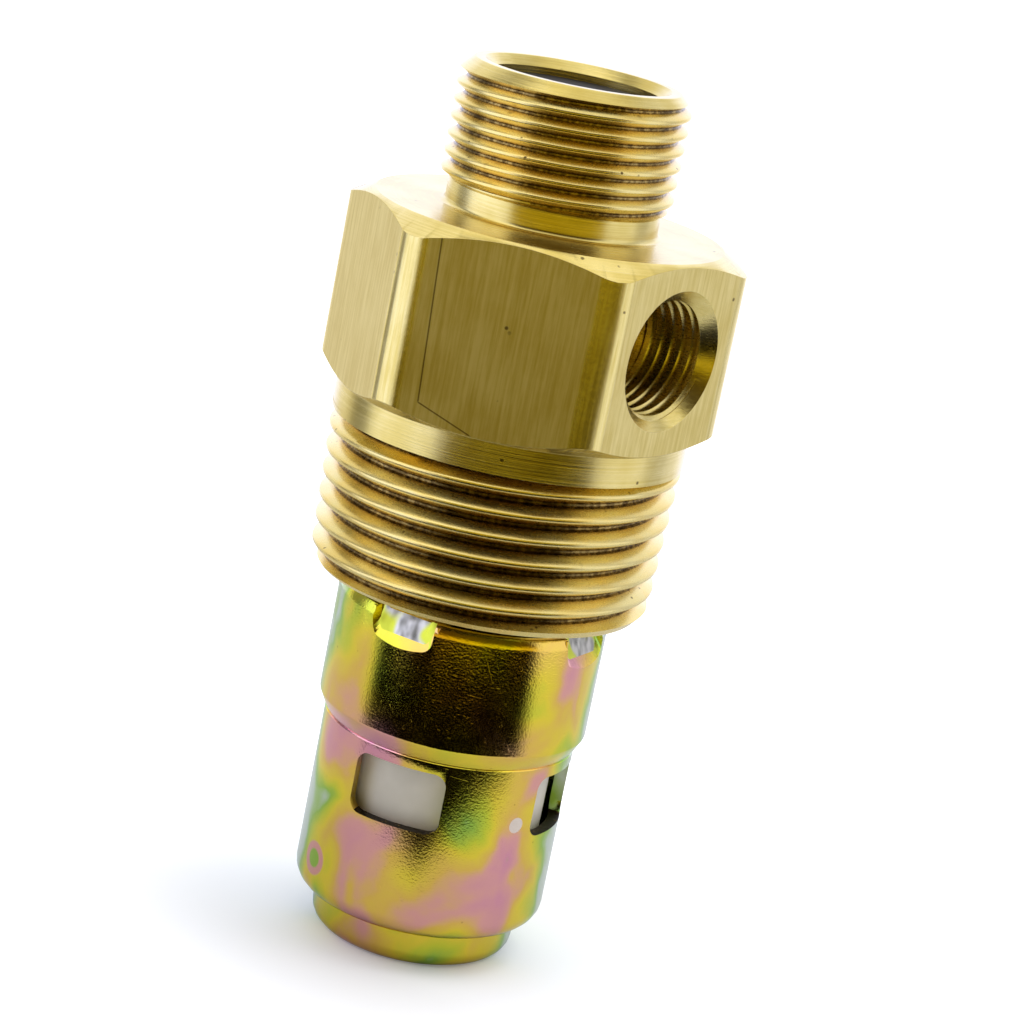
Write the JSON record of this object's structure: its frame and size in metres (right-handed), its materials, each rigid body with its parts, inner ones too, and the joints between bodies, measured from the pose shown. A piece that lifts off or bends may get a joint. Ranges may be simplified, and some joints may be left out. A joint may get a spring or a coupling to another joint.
{
  "type": "in-tank non-return valve",
  "caption": "Brass in-tank non-return valve with a hexagon, side port, threaded ends and a sprung poppet in a windowed steel cage.",
  "frame": {"origin": "centre of the cage's closed end, on which the valve stands", "axes": "+Z along the valve's axis towards the inlet thread; +X out of the side port"},
  "size_m": [0.027, 0.0304, 0.0685],
  "materials": {
    "brass": "turned and milled brass",
    "zinc_steel": "drawn steel, zinc plated and passivated yellow",
    "white_plastic": "moulded white plastic",
    "spring_steel": "drawn wire",
    "black_plastic": "moulded black plastic"
  },
  "bodies": {
    "housing": {"valve_body": "brass", "cage": "zinc_steel", "return_spring": "spring_steel", "inlet_plug": "black_plastic"},
    "poppet": {"poppet": "white_plastic"}
  },
  "joints": [
    {"name": "poppet_slide", "type": "slide", "parent": "housing", "child": "poppet", "axis": [0, 0, -1], "range_m": [0, 0.0045], "stiffness_N_per_m": 200, "springref_m": -0.004, "deforming": ["return_spring"]}
  ]
}
